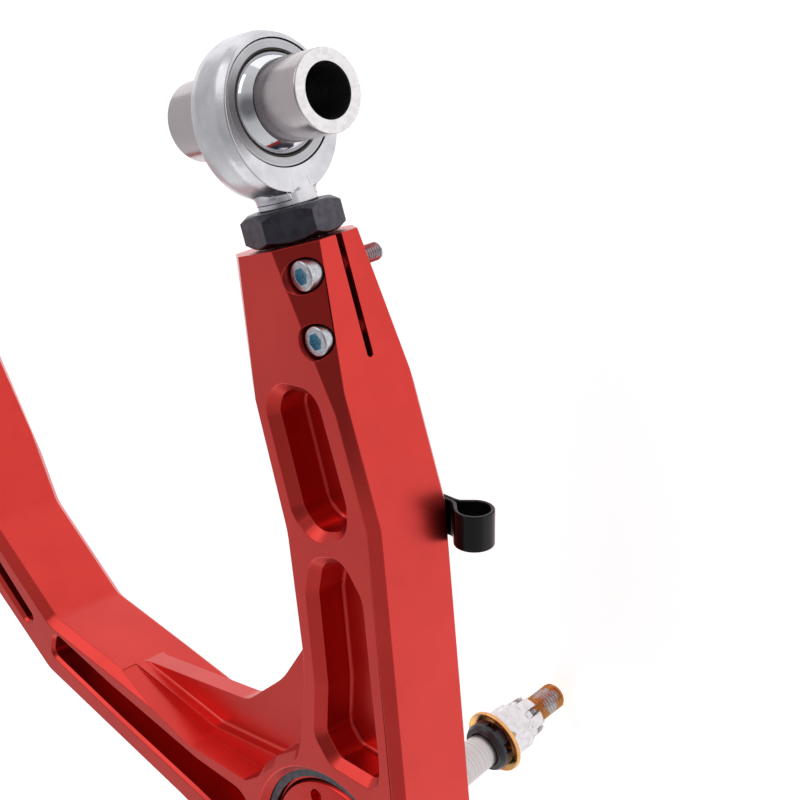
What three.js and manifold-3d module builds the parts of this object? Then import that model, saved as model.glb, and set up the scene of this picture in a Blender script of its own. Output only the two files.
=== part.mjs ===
// A-shaped suspension control arm: a pocketed red anodised aluminium body with two clamped rod
// ends on one pivot axis, and a ball joint with a threaded stud at its outboard end.
// Millimetres. The origin is the middle of the pivot axis, +X runs along it, +Y points outboard
// to the ball joint and +Z is the normal of the pocketed top face.
import * as THREE from 'three';
import { mergeVertices } from 'three/addons/utils/BufferGeometryUtils.js';
import Module from 'manifold-3d';

const wasm = await Module();
wasm.setup();

// ---- driving dimensions ----
const GAP = 0.3; // clearance kept between pieces that touch
const SPACING = 234; // between the two rod end centres
const H = 17.5; // half the body's thickness
const WEB = 3.8; // half the web's thickness, between a pocket and its twin underneath
const EDGE = 3.2; // 45 degree chamfer round the body's edges and the slots' rims
const LEDGE = 8; // step inside the crotch recess
const LIP = 1.2; // small rim chamfer of the narrow pockets
const END_Y = 43.4; // clamp end faces
const CLAMP_HALF = 20; // half the clamp's width
const FACET_SLOPE = 0.736; // tapered corner facets of a clamp, across it
const OUTER_FACET = { z: 8, alongSlope: 0.133 }; // on the slit side
const INNER_FACET = { z: 9.8, alongSlope: 0.17 };
const SLIT = { width: 2.4, end: 82 };
const BORE_R = 9.75; // clamp bore round the rod end's shank
const BORE_END = 83;
const BOLT = { x: 14.2, r: 3, headR: 5, headH: 6, socketAF: 5 };
const BOLTS = [{ y: 53, top: 14.4, end: -18.8 }, { y: 73.6, top: 15.6, end: -13 }];
const JOINT = { x: 49.8 - SPACING / 2, y: 253.5, z: -3 }; // ball centre of the outboard ball joint
const STUD_LEAN = 9.6; // degrees from -Z
const STUD_HEADING = -110.5; // degrees in plan
const STUD = {
  neckR: 5.8, taperStart: 20, taperR: 7.6, taperEnd: 63.4, endR: 6.2, threadR: 5.05, end: 98,
};
const BALL_R = 14.3;
const ROD = {
  half: 8.73, headR: 23.2, flatR: 22, neckR: 9.7, shankR: 9.4, shankEnd: 79, raceR: 20.35, openR: 16.1,
};
const EYE = { stretch: 1.15, shift: 3.2 }; // the rod end's eye is oval, longer towards its shank
const ROD_BALL_R = 18.1;
const SPACER = { r: 13.3, bore: 8.8, sleeve: 11, end: 32.5 };
const NUT = { af: 28.575, h: 10.85, y: 37.5 };
const CLIP = {
  x: -25.2, y: 145.7, z: -19.3, r: 6.8, wall: 1.6, width: 12.7, reach: 15, turn: -20,
};

// ---- materials ----
function standard(color, roughness, metalness) {
  return new THREE.MeshStandardMaterial({ color, roughness, metalness });
}

const redAnodised = standard(0xb3261f, 0.38, 0.75);
const zincSteel = standard(0xb9bcc0, 0.42, 0.9);
const machinedSteel = standard(0xb5aead, 0.34, 0.95);
const chrome = standard(0xd5d8dc, 0.08, 1);
const raceSteel = standard(0x7d7f83, 0.4, 0.9);
const liner = standard(0x4a4038, 0.7, 0.1);
const blackOxide = standard(0x2b2a30, 0.45, 0.8);
const springSteel = standard(0x3a3a3e, 0.35, 0.9);
const polymer = standard(0xe3dfd2, 0.55, 0);
const yellowZinc = standard(0xc79a4a, 0.4, 0.85);
const blackPlastic = standard(0x17171c, 0.45, 0);
const blackVinyl = standard(0x101014, 0.22, 0);

// ---- solids ----
function solid(geometry) {
  const bare = geometry.clone();
  bare.deleteAttribute('normal');
  if (bare.getAttribute('uv')) bare.deleteAttribute('uv');
  const merged = mergeVertices(bare, 1e-4);
  const vertProperties = new Float32Array(merged.getAttribute('position').array);
  const triVerts = new Uint32Array(merged.getIndex().array);
  return new wasm.Manifold(new wasm.Mesh({ numProp: 3, vertProperties, triVerts }));
}

function geometryOf(body) {
  const { vertProperties, triVerts } = body.getMesh();
  const geometry = new THREE.BufferGeometry();
  geometry.setAttribute('position', new THREE.BufferAttribute(new Float32Array(vertProperties), 3));
  geometry.setIndex(new THREE.BufferAttribute(new Uint32Array(triVerts), 1));
  geometry.computeVertexNormals();
  return geometry;
}

const group = new THREE.Group();
group.name = 'control_arm';

function put(name, body, material, parent = group) {
  const mesh = new THREE.Mesh(geometryOf(body), material);
  mesh.name = name;
  parent.add(mesh);
}

// ---- plan outlines: corners [x, y, radius], anticlockwise ----
function outline(corners) {
  const points = [];
  corners.forEach(([x, y, r = 0], i) => {
    const at = new THREE.Vector2(x, y);
    if (r === 0) { points.push(at); return; }
    const [px, py] = corners.at(i - 1);
    const [nx, ny] = corners[(i + 1) % corners.length];
    const back = new THREE.Vector2(px - x, py - y).normalize();
    const on = new THREE.Vector2(nx - x, ny - y).normalize();
    const turn = Math.PI - Math.acos(THREE.MathUtils.clamp(back.dot(on), -1, 1));
    const reach = r * Math.tan(turn / 2);
    const centre = at.clone().addScaledVector(back.clone().add(on).normalize(), r / Math.cos(turn / 2));
    const from = at.clone().addScaledVector(back, reach).sub(centre);
    const way = Math.sign(back.cross(on)) * -1;
    const steps = Math.max(2, Math.ceil(turn / (Math.PI / 7)));
    for (let k = 0; k <= steps; k++) {
      points.push(from.clone().rotateAround(new THREE.Vector2(), (way * turn * k) / steps).add(centre));
    }
  });
  return points;
}

function offset(points, d) { // outwards for an anticlockwise outline
  return points.map((p, i) => {
    const a = p.clone().sub(points.at(i - 1)).normalize();
    const b = points[(i + 1) % points.length].clone().sub(p).normalize();
    const normal = new THREE.Vector2(a.y + b.y, -a.x - b.x).normalize();
    return p.clone().addScaledVector(normal, d / Math.max(0.3, normal.dot(new THREE.Vector2(a.y, -a.x))));
  });
}

function loft(sections) { // sections: [height, outline], lowest first, all with as many points
  const n = sections[0][1].length;
  const positions = sections.flatMap(([z, points]) => points.flatMap((p) => [p.x, p.y, z]));
  const index = [];
  for (let s = 0; s + 1 < sections.length; s++) {
    for (let i = 0; i < n; i++) {
      const [a, b] = [s * n + i, s * n + ((i + 1) % n)];
      index.push(a, b, b + n, a, b + n, a + n);
    }
  }
  const top = (sections.length - 1) * n;
  THREE.ShapeUtils.triangulateShape(sections[0][1], []).forEach(([a, b, c]) => index.push(c, b, a));
  THREE.ShapeUtils.triangulateShape(sections.at(-1)[1], []).forEach(([a, b, c]) => {
    index.push(top + a, top + b, top + c);
  });
  const geometry = new THREE.BufferGeometry();
  geometry.setAttribute('position', new THREE.Float32BufferAttribute(positions, 3));
  geometry.setIndex(index);
  return solid(geometry);
}

const ALONG = { x: [0, 0, -Math.PI / 2], y: [0, 0, 0], z: [Math.PI / 2, 0, 0] };

function turned(profile, axis, at = [0, 0, 0], segments = 28) { // profile: [along, radius]
  const points = profile.map(([along, radius]) => new THREE.Vector2(radius, along));
  const hollow = profile[0][1] > 0;
  if (hollow) points.push(points[0].clone());
  const geometry = new THREE.LatheGeometry(points, segments);
  geometry.applyMatrix4(new THREE.Matrix4().makeRotationFromEuler(new THREE.Euler(...ALONG[axis])));
  geometry.translate(...at);
  const body = solid(geometry);
  if (body.volume() > 0) return body;
  geometry.setIndex([...geometry.getIndex().array].reverse());
  return solid(geometry);
}

function rod(r, from, to, axis, at, segments) {
  return turned([[from, 0], [from, r], [to, r], [to, 0]], axis, at, segments);
}

function box(sx, sy, sz, at) {
  const geometry = new THREE.BoxGeometry(sx, sy, sz);
  geometry.translate(...at);
  return solid(geometry);
}

function hex(af, from, to, axis, at, phase = 0) { // hexagonal prism
  const geometry = new THREE.CylinderGeometry(af / Math.sqrt(3), af / Math.sqrt(3), to - from, 6);
  geometry.rotateY(phase);
  geometry.translate(0, (from + to) / 2, 0);
  geometry.applyMatrix4(new THREE.Matrix4().makeRotationFromEuler(new THREE.Euler(...ALONG[axis])));
  geometry.translate(...at);
  return solid(geometry);
}

const minus = (body, ...tools) => tools.reduce((left, tool) => left.subtract(tool), body);
const plus = (body, ...others) => others.reduce((sum, other) => sum.add(other), body);

// ---- arm body ----
const NEAR = -SPACING / 2; // the clamp in line with the ball joint
const FAR = SPACING / 2; // the clamp on the swept leg

function bodyOutline() {
  const n = (x, y, r) => [NEAR + x, y, r];
  const overrun = END_Y - 2 * EDGE; // the clamp ends are cut square later, so they get no chamfer
  return outline([
    n(-CLAMP_HALF, overrun), n(21.2, overrun), n(25.5, 134, 30), n(34.8, 176.5), // inboard leg, inner side
    n(49, 180.5, 6), n(65, 192.2, 30), n(88.5, 201.2, 12), n(145, 187.9), // crotch, along the web
    n(179.2, 168, 9), n(203.2, 130, 9), // swept leg, inner side
    n(SPACING - CLAMP_HALF, END_Y), n(SPACING - CLAMP_HALF, overrun), // and its clamp
    n(SPACING + CLAMP_HALF, overrun), n(SPACING + CLAMP_HALF, 78, 20),
    n(231, 131, 14), n(192, 189.5, 14), n(122.5, 240, 40), // swept leg, outer side
    n(94, 279, 30), n(50, 302, 34), n(14, 271.5, 30), // round the ball joint
    n(-CLAMP_HALF, 136),
  ]);
}

function facet(centre, side, up, { z, alongSlope }) { // the block to cut away
  const size = 150;
  const normal = new THREE.Vector3(side * FACET_SLOPE, -alongSlope, up).normalize();
  const geometry = new THREE.BoxGeometry(size, size, size);
  geometry.translate(0, 0, size / 2);
  geometry.applyQuaternion(new THREE.Quaternion().setFromUnitVectors(new THREE.Vector3(0, 0, 1), normal));
  geometry.translate(centre + side * CLAMP_HALF, END_Y, up * z);
  return solid(geometry);
}

function pocket(corners, rim = EDGE) { // the same pocket in both faces; corners are the wall line
  const wall = outline(corners.map(([x, y, r]) => [NEAR + x, y, r]));
  const over = 1;
  const top = loft([[WEB, wall], [H - rim, wall], [H + over, offset(wall, rim + over)]]);
  return plus(top, top.mirror([0, 0, 1]));
}

function clampCuts(centre, outer) {
  const cuts = [
    rod(BORE_R, END_Y - 1, BORE_END, 'y', [centre, 0, 0]),
    box(CLAMP_HALF + 2, SLIT.end - END_Y + 1, SLIT.width,
      [centre + outer * (CLAMP_HALF + 2) / 2, (SLIT.end + END_Y - 1) / 2, 0]),
    rod(SLIT.width / 2, Math.min(0, outer * (CLAMP_HALF + 2)), Math.max(0, outer * (CLAMP_HALF + 2)),
      'x', [centre, SLIT.end, 0], 16),
    box(2 * CLAMP_HALF + 10, 20, 2 * H + 4, [centre, END_Y - 10, 0]),
  ];
  for (const up of [-1, 1]) {
    cuts.push(facet(centre, outer, up, OUTER_FACET), facet(centre, -outer, up, INNER_FACET));
  }
  for (const { y, top } of BOLTS) {
    const at = [centre + outer * BOLT.x, y, 0];
    cuts.push(rod(BOLT.r + GAP, -H - 2, H + 2, 'z', at, 24));
    cuts.push(rod(BOLT.headR + 0.6, top - BOLT.headH - GAP, H + 2, 'z', at, 24));
  }
  return cuts;
}

function jointBore() {
  const bore = [[-H - 1, 0], [-H - 1, 18], [-12, 13.4], [-12, 24], [10.6, 24], [10.6, 31.2], [12, 33],
    [13.2, 33], [13.2, 34.4], [14.8, 34.4], [14.8, 33], [H + 1, 36.4], [H + 1, 0]];
  return turned(bore, 'z', [JOINT.x, JOINT.y, 0], 36);
}

function clipScrewAt() {
  const turn = THREE.MathUtils.degToRad(CLIP.turn);
  return [NEAR + CLIP.x + CLIP.reach * Math.cos(turn), CLIP.y + CLIP.reach * Math.sin(turn), 0];
}

function armBody() {
  const edge = bodyOutline();
  const inset = offset(edge, -EDGE);
  const blank = loft([[-H, inset], [-H + EDGE, edge], [H - EDGE, edge], [H, inset]]);
  const slots = [
    pocket([[-7, 91, 6], [8, 87.4, 8], [13.2, 94, 6], [14.2, 128, 7], [9, 135.6, 8], [-4, 135.6, 8],
      [-7.3, 126, 8]]),
    pocket([[1.5, 146.6, 5], [12.5, 146.3, 6], [18.5, 156, 8], [27, 189, 8], [34.4, 206, 5],
      [31, 214.5, 5], [14, 221.6, 3], [11, 214, 6], [-2.6, 158, 8]]),
    pocket([[216.5, 96, 4], [226, 89, 7], [236.5, 95, 4], [219.8, 129.5, 8], [196.6, 168, 2.5],
      [190.6, 168.4, 1.8], [211.6, 132, 8]], LIP),
    pocket([[184.6, 181.2, 2.5], [180.5, 184.5, 3], [152, 205.5, 0], [115, 231.5, 8], [94, 247.5, 5],
      [88, 240, 6], [86.5, 231.5, 8], [110, 220, 10], [152, 193.2, 0], [179.6, 173.5, 3]], LIP),
  ];
  const crotch = pocket([[40, 150, 0], [95, 150, 0], [150, 180, 0], [145, 187.9, 0], [107, 210.5, 12],
    [74, 220, 4], [66, 216.5, 5], [53, 213.4, 4], [48.6, 207, 3], [37.6, 184.5, 8], [34.8, 176.5, 0]]);
  const step = outline([[72, 217, 0], [107, 207, 0], [144, 186, 0], [145.4, 188, 0], [112, 214.2, 9],
    [84, 225.8, 4], [75, 223.5, 3]].map(([x, y, r]) => [NEAR + x, y, r]));
  const ledge = loft([[LEDGE, step], [H + 1, step]]);
  const clipHole = rod(2.1, -H - 1, -8, 'z', clipScrewAt(), 20);
  return minus(blank, ...slots, crotch, ledge, clipHole, jointBore(),
    ...clampCuts(NEAR, -1), ...clampCuts(FAR, 1));
}

// ---- rod ends ----
function rodEnd(name, x, outer) {
  const at = [x, 0, 0];
  const { half, headR, flatR, neckR, shankR, shankEnd, raceR, openR } = ROD;
  const shank = turned([[26, 0], [26, half - 0.5], [27.8, neckR], [31.6, neckR], [31.6, shankR],
    [shankEnd - 1.5, shankR], [shankEnd, shankR - 1.5], [shankEnd, 0]], 'y', at);
  const flare = turned([[18, 0], [18, 15.5], [22, 13], [25, 11], [28.5, neckR], [28.5, 0]], 'y', at);
  const cheeks = flare.intersect(box(2 * half - 0.6, 60, 60, [x, 0, 0]));
  const barrel = turned([[-half, 0], [-half, flatR], [-half * 0.55, headR], [half * 0.55, headR],
    [half, flatR], [half, 0]], 'x', at, 36);
  const eye = barrel.scale([1, EYE.stretch, 1]).translate([0, EYE.shift, 0]);
  put(`${name}_housing`, minus(plus(eye, cheeks, shank), rod(raceR, -half - 1, half + 1, 'x', at)), zincSteel);

  const seat = (r) => [8, 3, -3, -8].map((along) => [along, Math.sqrt(r * r - along * along)]);
  const race = [[-8.3, openR + 0.8], [-8.3, raceR - GAP], [8.3, raceR - GAP], [8.3, openR + 0.8],
    ...seat(ROD_BALL_R + 1)];
  const lining = [...seat(ROD_BALL_R + GAP), ...seat(ROD_BALL_R + 0.7).reverse()];
  put(`${name}_race`, turned(race, 'x', at), raceSteel);
  put(`${name}_liner`, turned(lining, 'x', at), liner);

  const flat = Math.sqrt(ROD_BALL_R ** 2 - SPACER.r ** 2);
  const arc = [];
  for (let k = 0; k <= 6; k++) {
    const along = -flat + (2 * flat * k) / 6;
    arc.push([along, Math.sqrt(ROD_BALL_R ** 2 - along ** 2)]);
  }
  const { r, bore, sleeve, end } = SPACER;
  const ball = [[-flat, sleeve + GAP], ...arc, [flat, sleeve + GAP]];
  put(`${name}_ball`, turned(ball, 'x', at), chrome);
  const spacer = [[GAP, bore], [GAP, sleeve], [flat + GAP, sleeve], [flat + GAP, r], [end - 0.6, r],
    [end, r - 0.6], [end, bore + 0.5], [end - 0.5, bore]];
  for (const [side, label] of [[outer, 'outer'], [-outer, 'inner']]) {
    const profile = spacer.map(([along, radius]) => [side * along, radius]);
    put(`${name}_spacer_${label}`, turned(profile, 'x', at), machinedSteel);
  }

  const [low, high] = [NUT.y - NUT.h / 2, NUT.y + NUT.h / 2];
  const [face, corner] = [NUT.af / 2 - 0.6, NUT.af * 0.58];
  const cone = turned([[low, 0], [low, face], [low + 1.8, corner], [high - 1.8, corner], [high, face],
    [high, 0]], 'y', at);
  const nut = hex(NUT.af, low, high, 'y', at, Math.PI / 6 + 0.08).intersect(cone);
  put(`${name}_jam_nut`, minus(nut, rod(ROD.shankR + GAP, low - 1, high + 1, 'y', at)), blackOxide);
}

// ---- pinch bolts ----
function pinchBolt(name, centre, outer, { y, top, end }) {
  const at = [centre + outer * BOLT.x, y, 0];
  const { r, headR, headH, socketAF } = BOLT;
  const screw = turned([[end, 0], [end, r - 0.6], [end + 0.6, r], [top - headH, r], [top - headH, headR],
    [top - 0.5, headR], [top, headR - 0.5], [top, 0]], 'z', at, 24);
  put(name, minus(screw, hex(socketAF, top - 3, top + 1, 'z', at)), zincSteel);
}

// ---- ball joint: fixed pieces in the boss ----
function ballSeats() {
  const at = [JOINT.x, JOINT.y, JOINT.z];
  const halves = [['upper', [0.12, 0.35, 0.6, 0.85, 1.1]], ['lower', [-0.12, -0.3, -0.45, -0.58]]];
  for (const [name, angles] of halves) {
    const hollow = angles.map((a) => [(BALL_R + GAP) * Math.sin(a), (BALL_R + GAP) * Math.cos(a)]);
    const profile = [...hollow, [hollow.at(-1)[0], 23.7], [hollow[0][0], 23.7]];
    put(`ball_seat_${name}`, turned(profile, 'z', at), polymer);
  }
}

function ballCap() {
  const at = [JOINT.x, JOINT.y, 0];
  const cap = turned([[11.4, 0], [11.4, 30], [12.3, 32.4], [12.9, 32.4], [12.9, 29.4], [14.6, 28.2],
    [15.4, 20], [15.8, 0]], 'z', at, 36);
  const holes = [0, 1, 2, 3].map((k) => {
    const a = (k * Math.PI) / 2 - 1.59;
    return rod(2.6, 12.4, 20, 'z', [JOINT.x + 23.5 * Math.cos(a), JOINT.y + 23.5 * Math.sin(a), 0], 20);
  });
  put('ball_cap', minus(cap, ...holes), redAnodised);
}

function lockRing() {
  const at = [JOINT.x, JOINT.y, 0];
  const ring = turned([[13.5, 30.4], [13.5, 34.1], [14.5, 34.1], [14.5, 30.4]], 'z', at, 36);
  put('ball_lock_ring', minus(ring, box(8, 5, 4, [JOINT.x, JOINT.y + 32, 14])), springSteel);
}

// ---- stud: along local -Y from the ball centre, in a leaning group ----
function studGroup() {
  const lean = new THREE.Group();
  lean.position.set(JOINT.x, JOINT.y, JOINT.z);
  const heading = THREE.MathUtils.degToRad(STUD_HEADING);
  const tilt = THREE.MathUtils.degToRad(STUD_LEAN);
  const out = Math.sin(tilt);
  const way = new THREE.Vector3(out * Math.cos(heading), out * Math.sin(heading), -Math.cos(tilt));
  lean.quaternion.setFromUnitVectors(new THREE.Vector3(0, -1, 0), way);
  group.add(lean);
  const s = (profile) => turned(profile.map(([along, r]) => [-along, r]), 'y');
  const pin = (r, from, to) => s([[from, 0], [from, r], [to, r], [to, 0]]);

  const ball = [];
  for (let k = 0; k <= 12; k++) {
    const a = (k * Math.PI) / 12;
    ball.push([-BALL_R * Math.cos(a), k % 12 === 0 ? 0 : BALL_R * Math.sin(a)]);
  }
  put('joint_ball', minus(s(ball), pin(STUD.neckR + GAP, -6, BALL_R + 1)), chrome, lean);

  const { neckR, taperStart, taperR, taperEnd, endR, threadR, end } = STUD;
  put('joint_stud', s([[-5.6, 0], [-5.6, neckR], [16, neckR], [taperStart, taperR], [taperEnd, endR],
    [taperEnd + 0.8, threadR], [end - 1, threadR], [end, threadR - 1], [end, 0]]), machinedSteel, lean);

  const retainer = s([[58.6, 6.75], [58.6, 8.6], [60, 9.4], [63.9, 9.4], [63.9, 6.75]]);
  const notches = [0, 1, 2, 3, 4, 5].map((k) => {
    const geometry = new THREE.BoxGeometry(5, 3.4, 3.6);
    geometry.translate(9.6, -63.2, 0);
    geometry.rotateY((k * Math.PI) / 3);
    return solid(geometry);
  });
  put('stud_retainer', minus(retainer, ...notches), blackPlastic, lean);

  const washer = s([[64.9, 5.4], [64.9, 8], [63.4, 12], [65, 12.2], [66.6, 8.2], [66.6, 5.4]]);
  put('stud_washer', washer, yellowZinc, lean);

  const nutBase = 66.95;
  const hexPart = hex(16.6, -(nutBase + 9.6), -nutBase, 'y', [0, 0, 0]);
  const fromBase = (profile) => s(profile.map(([along, r]) => [nutBase + along, r]));
  const rounding = fromBase([[0, 0], [0, 8.6], [1.2, 9.7], [8.6, 9.7], [9.6, 8.4], [9.6, 0]]);
  const crown = fromBase([[9, 0], [9, 7.9], [15.6, 7.6], [16.8, 6.8], [16.8, 0]]);
  const slots = [0, 1, 2].map((k) => {
    const geometry = new THREE.BoxGeometry(20, 5, 2.6);
    geometry.translate(0, -(nutBase + 15), 0);
    geometry.rotateY((k * Math.PI) / 3 + Math.PI / 6);
    return solid(geometry);
  });
  const nut = plus(hexPart.intersect(rounding), crown);
  put('stud_nut', minus(nut, pin(threadR + GAP, nutBase - 1, nutBase + 20), ...slots), zincSteel, lean);
}

// ---- line clip under the inboard leg ----
function lineClip() {
  const { x, y, z, r, wall, width, reach, turn } = CLIP;
  const neck = Math.PI * 0.22;
  const tabHalf = wall - 0.15;
  const tabEnd = reach + 6.2;
  const ring = (radius, start, steps) => {
    const points = [];
    for (let k = 0; k <= steps; k++) {
      const a = start + ((2 * Math.PI - 2 * start) * k) / steps;
      points.push(new THREE.Vector2(radius * Math.cos(a), radius * Math.sin(a)));
    }
    return points;
  };
  const tab = [[r + 2.4, -tabHalf], [tabEnd, -tabHalf], [tabEnd, tabHalf], [r + 2.4, tabHalf]];
  const shape = new THREE.Shape([...ring(r, neck, 28), ...tab.map(([u, v]) => new THREE.Vector2(u, v))]);
  shape.holes.push(new THREE.Path([...ring(r - wall, 0.5, 24), new THREE.Vector2(r - 0.4, 0)].reverse()));
  const geometry = new THREE.ExtrudeGeometry(shape, { depth: width, bevelEnabled: false });
  geometry.rotateX(Math.PI / 2);
  geometry.translate(0, width / 2, 0);
  geometry.rotateZ(THREE.MathUtils.degToRad(turn));
  geometry.translate(NEAR + x, y, z);
  const at = clipScrewAt();
  put('clip_band', minus(solid(geometry), rod(2.7, z - 4, z + 4, 'z', at, 24)), blackVinyl);

  const under = z - tabHalf - GAP;
  const screw = turned([[under - 3, 0], [under - 3, 2.6], [under - 2.2, 4], [under, 4.6], [under, 1.8],
    [-9, 1.8], [-9, 0]], 'z', at);
  put('clip_screw', minus(screw, hex(2.6, under - 4, under - 1.4, 'z', at)), zincSteel);
}

put('arm_body', armBody(), redAnodised);
rodEnd('near', NEAR, -1);
rodEnd('far', FAR, 1);
BOLTS.forEach((bolt, i) => {
  pinchBolt(`near_pinch_bolt_${i + 1}`, NEAR, -1, bolt);
  pinchBolt(`far_pinch_bolt_${i + 1}`, FAR, 1, bolt);
});
ballSeats();
ballCap();
lockRing();
studGroup();
lineClip();

export default group;
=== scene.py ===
"""The looks of a red anodised suspension control arm with two rod ends and a ball joint stud.

Lengths are in millimetres and become metres in place(). The origin is the middle of the pivot
axis, +X runs along it, +Y points outboard to the ball joint and +Z is the top face's normal.
"""

import math

import bmesh
import bpy
from mathutils import Matrix, Vector


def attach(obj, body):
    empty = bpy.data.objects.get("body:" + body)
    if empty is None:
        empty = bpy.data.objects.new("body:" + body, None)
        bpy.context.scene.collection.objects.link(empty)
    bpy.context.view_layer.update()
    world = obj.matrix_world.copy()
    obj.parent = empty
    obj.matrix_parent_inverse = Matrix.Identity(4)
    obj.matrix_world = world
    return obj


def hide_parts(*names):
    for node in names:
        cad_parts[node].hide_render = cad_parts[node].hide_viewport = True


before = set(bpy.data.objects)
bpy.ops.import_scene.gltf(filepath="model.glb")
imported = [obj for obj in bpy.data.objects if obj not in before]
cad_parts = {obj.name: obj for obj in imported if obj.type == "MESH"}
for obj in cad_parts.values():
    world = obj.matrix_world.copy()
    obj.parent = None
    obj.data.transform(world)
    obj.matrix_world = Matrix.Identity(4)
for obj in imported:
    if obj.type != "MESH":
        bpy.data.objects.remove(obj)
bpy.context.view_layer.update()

# ---- driving dimensions, as in the CAD ----
MM = 0.001
SPACING = 234.0  # between the two rod end centres
NEAR, FAR = -SPACING / 2, SPACING / 2
HALF = 17.5  # half the body's thickness
WEB = 3.8  # half the web's thickness, between a pocket and its twin underneath
EDGE = 3.2  # 45 degree chamfer round the body's edges and the windows' rims
LIP = 1.2  # small rim chamfer of the narrow pockets
LEDGE = 8.0  # height of the step inside the crotch recess
END_Y = 43.4  # clamp end faces
OVERRUN = END_Y - 2 * EDGE  # the clamp ends are cut square after the edges are chamfered
CLAMP_HALF = 20.0  # half the clamp's width
FACET_SLOPE = 0.736  # tapered corner facets of a clamp, across it
OUTER_FACET = (8, 0.133)  # height at the end face and slope along the clamp, on the slit side
INNER_FACET = (9.8, 0.17)
BORE_R = 9.75  # clamp bore round the rod end's shank
BORE_END = 83.0
SLIT_HALF, SLIT_END = 1.2, 82.0
EYE_STRETCH, EYE_SHIFT = 1.15, 3.2  # the rod end's eye is oval, longer towards its shank
EYE_HALF = 8.73  # half the eye's thickness
RACE_R, RACE_SEAT_R = 20.05, 20.35  # bearing race, and the hole in the eye round it
BEARING_R = 18.1  # bearing ball of a rod end
SHANK_R = 9.4
SPACER_R, SPACER_BORE, SPACER_END = 13.3, 8.8, 32.5
BALL_FLAT = math.sqrt(BEARING_R**2 - SPACER_R**2)  # where the ball's sides are cut flat
NUT_FLATS, NUT_LOW, NUT_HIGH = 28.575, 37.5 - 5.425, 37.5 + 5.425
NUT_PHASE = 0.0
BOLT_X = 14.2  # pinch bolts, from the clamp's middle
BOLT_R, BOLT_HEAD_R, BOLT_HEAD, BOLT_SOCKET = 3, 5, 6, 5
BOLTS = [(53.0, 14.4, -18.8), (73.6, 15.6, -13.0)]  # place along the clamp, head's top, tip
BALL_R = 14.3  # ball of the outboard joint
HOLE_CIRCLE = 23.5  # spanner holes in its cap
STUD_END = 97.9
CASTLE_LOW, CASTLE_FLATS = 66.95, 16.6
CLIP_AT = (-25.2, 145.7, -19.3)  # middle of the line clip's loop, from the near clamp's middle
CLIP_R, CLIP_WALL, CLIP_WIDTH = 6.8, 1.6, 12.7
CLIP_REACH, CLIP_TURN = 15.0, math.radians(-20)  # from the loop's middle to its screw
JOINT = Vector((49.8 - SPACING / 2, 253.5, -3.0))
STUD_LEAN, STUD_HEADING = math.radians(9.6), math.radians(-110.5)
STUD_WAY = Vector((
    math.sin(STUD_LEAN) * math.cos(STUD_HEADING),
    math.sin(STUD_LEAN) * math.sin(STUD_HEADING),
    -math.cos(STUD_LEAN),
))
X, Y, Z = Vector((1, 0, 0)), Vector((0, 1, 0)), Vector((0, 0, 1))
DOWN = Vector((0, -1, 0))  # towards the stud's tip, in the stud's own frame
STUD_FRAME = Matrix.Translation(JOINT) @ DOWN.rotation_difference(STUD_WAY).to_matrix().to_4x4()


# ---- outlines ----
def rounded(corners, closed=True, step=7.0):
    """Points of a line with corners (x, y, radius), each corner rounded to its radius."""
    points = []
    for i, corner in enumerate(corners):
        at = Vector(corner[:2])
        r = corner[2] if len(corner) > 2 else 0
        if r == 0 or (not closed and i in (0, len(corners) - 1)):
            points.append(at)
            continue
        back = (Vector(corners[i - 1][:2]) - at).normalized()
        on = (Vector(corners[(i + 1) % len(corners)][:2]) - at).normalized()
        turn = math.pi - math.acos(max(-1, min(1, back.dot(on))))
        centre = at + (back + on).normalized() * (r / math.cos(turn / 2))
        start = at + back * (r * math.tan(turn / 2)) - centre
        way = -math.copysign(1, back.x * on.y - back.y * on.x)
        steps = max(2, math.ceil(math.degrees(turn) / step))
        for k in range(steps + 1):
            a = way * turn * k / steps
            c, s = math.cos(a), math.sin(a)
            points.append(centre + Vector((start.x * c - start.y * s, start.x * s + start.y * c)))
    return points


def offset(points, d):
    """An anticlockwise closed outline moved outwards by d."""
    moved = []
    for i, p in enumerate(points):
        a = (p - points[i - 1]).normalized()
        b = (points[(i + 1) % len(points)] - p).normalized()
        normal = Vector((a.y + b.y, -a.x - b.x)).normalized()
        moved.append(p + normal * (d / max(0.3, normal.dot(Vector((a.y, -a.x))))))
    return moved


# ---- mesh building ----
def build(name, bm, matrix=None):
    bmesh.ops.remove_doubles(bm, verts=bm.verts, dist=1e-5)
    bmesh.ops.recalc_face_normals(bm, faces=bm.faces)
    if matrix:
        bm.transform(matrix)
    mesh = bpy.data.meshes.new(name)
    bm.to_mesh(mesh)
    bm.free()
    obj = bpy.data.objects.new(name, mesh)
    bpy.context.scene.collection.objects.link(obj)
    return obj


def rings(bm, loops):
    """Joins loops of points with equal counts, and closes the two ends with faces."""
    made = [[bm.verts.new(p) for p in loop] for loop in loops]
    n = len(made[0])
    for a, b in zip(made, made[1:]):
        for i in range(n):
            j = (i + 1) % n
            bm.faces.new((a[i], a[j], b[j], b[i]))
    bm.faces.new(list(reversed(made[0])))
    bm.faces.new(made[-1])


def loft(name, sections):
    """A solid through sections (height, outline)."""
    bm = bmesh.new()
    rings(bm, [[(p.x, p.y, z) for p in points] for z, points in sections])
    return build(name, bm)


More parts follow.
